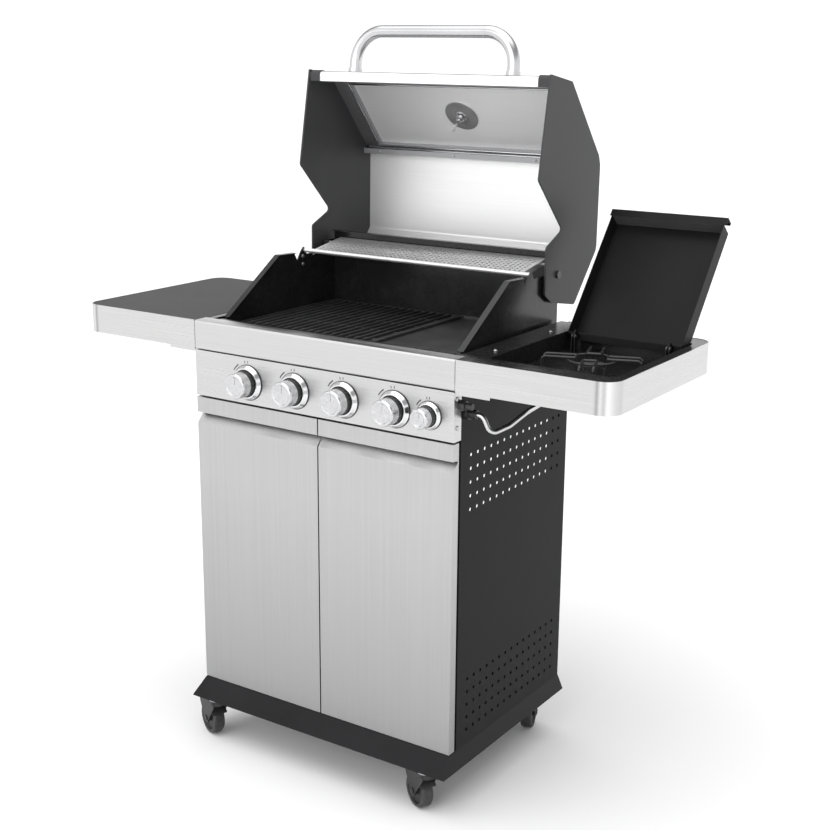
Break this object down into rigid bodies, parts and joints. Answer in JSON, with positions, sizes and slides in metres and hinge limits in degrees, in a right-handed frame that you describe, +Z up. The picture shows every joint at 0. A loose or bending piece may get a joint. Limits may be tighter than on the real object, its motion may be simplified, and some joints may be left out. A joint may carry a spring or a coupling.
{
  "type": "gas barbecue grill",
  "caption": "Free-standing gas barbecue on a cabinet cart with open hood, grate and griddle, knobs, side shelves, lidded side burner and swivel casters.",
  "frame": {"origin": "on the floor under the middle of the overall width and depth", "axes": "+X to the right of someone facing the knobs, +Y away from them towards the back, +Z up"},
  "size_m": [1.306, 0.6545, 1.5545],
  "materials": {
    "door_steel": "vertical-grain brushed stainless",
    "fascia_steel": "fine horizontal-grain brushed stainless",
    "hood_steel": "brushed stainless, bright inside",
    "bright_chrome": "polished chrome",
    "black_powder_coat": "satin black powder coat",
    "plinth_paint": "satin black paint",
    "dark_grey_paint": "matt dark grey powder coat",
    "black_enamel": "glossy black enamel",
    "cast_iron": "matt black cast iron",
    "burner_steel": "plain stainless, slightly heat-tinted",
    "zinc_steel": "zinc-plated steel",
    "knob_plastic": "metallised and black plastic",
    "valve_black": "black-coated casting",
    "tread": "moulded black tread",
    "caster_black": "black-painted pressed steel",
    "brake_plastic": "moulded black plastic"
  },
  "bodies": {
    "cart": {"base_plinth": "plinth_paint", "caster_plates": "zinc_steel", "left_side_panel": "black_powder_coat", "right_side_panel": "black_powder_coat", "back_panel": "black_powder_coat", "front_frame": "black_powder_coat", "control_panel": "fascia_steel", "fascia_rail": "fascia_steel", "knob_bezels": "bright_chrome", "gas_valves": "valve_black", "gas_manifold": "zinc_steel", "side_burner_hose": "bright_chrome", "firebox_left_side": "black_enamel", "firebox_right_side": "black_enamel", "firebox_walls": "black_enamel", "main_burners": "burner_steel", "flame_tamers": "burner_steel", "cooking_grate": "cast_iron", "griddle_plate": "cast_iron", "warming_rack": "hood_steel", "left_shelf_top": "dark_grey_paint", "left_shelf_band": "fascia_steel", "right_shelf_top": "black_enamel", "right_shelf_band": "fascia_steel", "side_burner_head": "cast_iron", "side_burner_pan_support": "black_enamel", "hinge_pins": "zinc_steel", "frame_screws": "zinc_steel"},
    "hood": {"hood_skin": "hood_steel", "hood_left_cap": "black_powder_coat", "hood_right_cap": "black_powder_coat", "hood_lining": "dark_grey_paint", "hood_thermometer": "bright_chrome", "hood_handle": "bright_chrome"},
    "left_door": {"left_door_skin": "door_steel", "left_door_liner": "black_powder_coat"},
    "right_door": {"right_door_skin": "door_steel", "right_door_liner": "black_powder_coat"},
    "side_lid": {"side_burner_lid": "black_powder_coat"},
    "drip_tray": {"drip_tray": "burner_steel"},
    "valve_stem_1": {"valve_stem_1": "zinc_steel"},
    "knob_1": {"knob_1": "knob_plastic"},
    "valve_stem_2": {"valve_stem_2": "zinc_steel"},
    "knob_2": {"knob_2": "knob_plastic"},
    "valve_stem_3": {"valve_stem_3": "zinc_steel"},
    "knob_3": {"knob_3": "knob_plastic"},
    "valve_stem_4": {"valve_stem_4": "zinc_steel"},
    "knob_4": {"knob_4": "knob_plastic"},
    "valve_stem_5": {"valve_stem_5": "zinc_steel"},
    "knob_5": {"knob_5": "knob_plastic"},
    "caster_fork_front_left": {"caster_fork_front_left": "caster_black"},
    "caster_wheel_front_left": {"caster_wheel_front_left": "tread"},
    "caster_brake_front_left": {"caster_brake_front_left": "brake_plastic"},
    "caster_fork_front_right": {"caster_fork_front_right": "caster_black"},
    "caster_wheel_front_right": {"caster_wheel_front_right": "tread"},
    "caster_brake_front_right": {"caster_brake_front_right": "brake_plastic"},
    "caster_fork_rear_left": {"caster_fork_rear_left": "caster_black"},
    "caster_wheel_rear_left": {"caster_wheel_rear_left": "tread"},
    "caster_fork_rear_right": {"caster_fork_rear_right": "caster_black"},
    "caster_wheel_rear_right": {"caster_wheel_rear_right": "tread"}
  },
  "joints": [
    {"name": "hood_hinge", "type": "hinge", "parent": "cart", "child": "hood", "pos_m": [0, 0.1478, 1.051], "axis": [1, 0, 0], "range_deg": [0, 96.5]},
    {"name": "side_lid_hinge", "type": "hinge", "parent": "cart", "child": "side_lid", "pos_m": [0.5, 0.0578, 0.945], "axis": [1, 0, 0], "range_deg": [0, 129.5]},
    {"name": "left_door_hinge", "type": "hinge", "parent": "cart", "child": "left_door", "pos_m": [-0.316, -0.2712, 0.46], "axis": [0, 0, -1], "range_deg": [0, 110]},
    {"name": "right_door_hinge", "type": "hinge", "parent": "cart", "child": "right_door", "pos_m": [0.316, -0.2712, 0.46], "axis": [0, 0, 1], "range_deg": [0, 110]},
    {"name": "tray_slide", "type": "slide", "parent": "cart", "child": "drip_tray", "axis": [0, 1, 0], "range_m": [0, 0.36]},
    {"name": "knob_1_turn", "type": "hinge", "parent": "cart", "child": "valve_stem_1", "pos_m": [-0.181, -0.2822, 0.834], "axis": [0, -1, 0], "range_deg": [0, 210]},
    {"name": "knob_1_push", "type": "slide", "parent": "valve_stem_1", "child": "knob_1", "axis": [0, 1, 0], "range_m": [0, 0.0035], "stiffness_N_per_m": 900},
    {"name": "knob_2_turn", "type": "hinge", "parent": "cart", "child": "valve_stem_2", "pos_m": [-0.058, -0.2822, 0.834], "axis": [0, -1, 0], "range_deg": [0, 210]},
    {"name": "knob_2_push", "type": "slide", "parent": "valve_stem_2", "child": "knob_2", "axis": [0, 1, 0], "range_m": [0, 0.0035], "stiffness_N_per_m": 900},
    {"name": "knob_3_turn", "type": "hinge", "parent": "cart", "child": "valve_stem_3", "pos_m": [0.065, -0.2822, 0.834], "axis": [0, -1, 0], "range_deg": [0, 210]},
    {"name": "knob_3_push", "type": "slide", "parent": "valve_stem_3", "child": "knob_3", "axis": [0, 1, 0], "range_m": [0, 0.0035], "stiffness_N_per_m": 900},
    {"name": "knob_4_turn", "type": "hinge", "parent": "cart", "child": "valve_stem_4", "pos_m": [0.188, -0.2822, 0.834], "axis": [0, -1, 0], "range_deg": [0, 210]},
    {"name": "knob_4_push", "type": "slide", "parent": "valve_stem_4", "child": "knob_4", "axis": [0, 1, 0], "range_m": [0, 0.0035], "stiffness_N_per_m": 900},
    {"name": "knob_5_turn", "type": "hinge", "parent": "cart", "child": "valve_stem_5", "pos_m": [0.269, -0.2822, 0.834], "axis": [0, -1, 0], "range_deg": [0, 210]},
    {"name": "knob_5_push", "type": "slide", "parent": "valve_stem_5", "child": "knob_5", "axis": [0, 1, 0], "range_m": [0, 0.0035], "stiffness_N_per_m": 900},
    {"name": "caster_front_left_swivel", "type": "hinge", "parent": "cart", "child": "caster_fork_front_left", "pos_m": [-0.281, -0.2962, 0.085], "axis": [0, 0, 1], "continuous": true},
    {"name": "caster_front_left_spin", "type": "hinge", "parent": "caster_fork_front_left", "child": "caster_wheel_front_left", "pos_m": [-0.30677, -0.28526, 0.0375], "axis": [-0.3907, -0.9205, 0], "continuous": true},
    {"name": "caster_front_left_brake", "type": "hinge", "parent": "caster_fork_front_left", "child": "caster_brake_front_left", "pos_m": [-0.32887, -0.27588, 0.077], "axis": [-0.3907, -0.9205, 0], "range_deg": [0, 12]},
    {"name": "caster_front_right_swivel", "type": "hinge", "parent": "cart", "child": "caster_fork_front_right", "pos_m": [0.281, -0.2962, 0.085], "axis": [0, 0, 1], "continuous": true},
    {"name": "caster_front_right_spin", "type": "hinge", "parent": "caster_fork_front_right", "child": "caster_wheel_front_right", "pos_m": [0.25605, -0.28349, 0.0375], "axis": [-0.454, -0.891, 0], "continuous": true},
    {"name": "caster_front_right_brake", "type": "hinge", "parent": "caster_fork_front_right", "child": "caster_brake_front_right", "pos_m": [0.23467, -0.27259, 0.077], "axis": [-0.454, -0.891, 0], "range_deg": [0, 12]},
    {"name": "caster_rear_left_swivel", "type": "hinge", "parent": "cart", "child": "caster_fork_rear_left", "pos_m": [-0.281, 0.1178, 0.085], "axis": [0, 0, 1], "continuous": true},
    {"name": "caster_rear_left_spin", "type": "hinge", "parent": "caster_fork_rear_left", "child": "caster_wheel_rear_left", "pos_m": [-0.295, 0.14205, 0.0375], "axis": [-0.866, -0.5, 0], "continuous": true},
    {"name": "caster_rear_right_swivel", "type": "hinge", "parent": "cart", "child": "caster_fork_rear_right", "pos_m": [0.281, 0.1178, 0.085], "axis": [0, 0, 1], "continuous": true},
    {"name": "caster_rear_right_spin", "type": "hinge", "parent": "caster_fork_rear_right", "child": "caster_wheel_rear_right", "pos_m": [0.27235, 0.14443, 0.0375], "axis": [-0.9511, -0.309, 0], "continuous": true}
  ]
}
